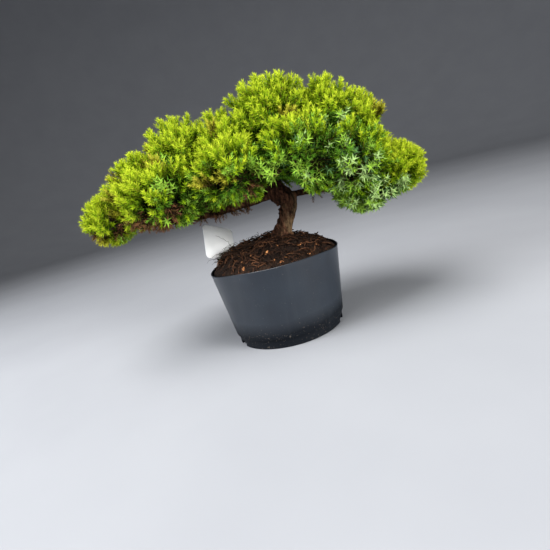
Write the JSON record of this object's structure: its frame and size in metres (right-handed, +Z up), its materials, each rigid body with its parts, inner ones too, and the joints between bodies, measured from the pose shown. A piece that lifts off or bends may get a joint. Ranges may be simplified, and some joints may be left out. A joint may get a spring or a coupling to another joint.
{
  "type": "potted juniper bonsai",
  "caption": "Low, wide juniper bonsai with a bent trunk and dense needle cushions, growing in a thin round plastic pot with a blank plant label.",
  "frame": {"origin": "centre of the pot's flat underside", "axes": "+X to the plant's right along its longest side, +Z up, -Y towards its front"},
  "size_m": [0.3284, 0.182, 0.247],
  "materials": {
    "pot": "satin",
    "soil": "matte",
    "label": "satin",
    "trunk_bark": "matte",
    "bough_bark": "matte",
    "needles_top": "satin",
    "needles_low": "satin"
  },
  "bodies": {
    "root": {"bough_back_centre": "bough_bark", "bough_back_left": "bough_bark", "bough_back_right": "bough_bark", "bough_front_centre": "bough_bark", "bough_front_far": "bough_bark", "bough_front_left": "bough_bark", "bough_front_right": "bough_bark", "bough_left_outer": "bough_bark", "bough_left_shoulder": "bough_bark", "bough_left_tip": "bough_bark", "bough_right_shoulder": "bough_bark", "bough_right_tip": "bough_bark", "bough_right_under": "bough_bark", "bough_top_left": "bough_bark", "bough_top_right": "bough_bark", "foliage_back_centre": "needles_top", "foliage_back_left": "needles_low", "foliage_back_right": "needles_low", "foliage_front_centre": "needles_low", "foliage_front_far": "needles_low", "foliage_front_left": "needles_low", "foliage_front_right": "needles_low", "foliage_left_outer": "needles_top", "foliage_left_shoulder": "needles_top", "foliage_left_tip": "needles_low", "foliage_right_shoulder": "needles_top", "foliage_right_tip": "needles_low", "foliage_right_under": "needles_low", "foliage_top": "needles_top", "foliage_top_left": "needles_top", "foliage_top_right": "needles_top", "label": "label", "pot": "pot", "soil": "soil", "trunk": "trunk_bark"}
  },
  "joints": []
}
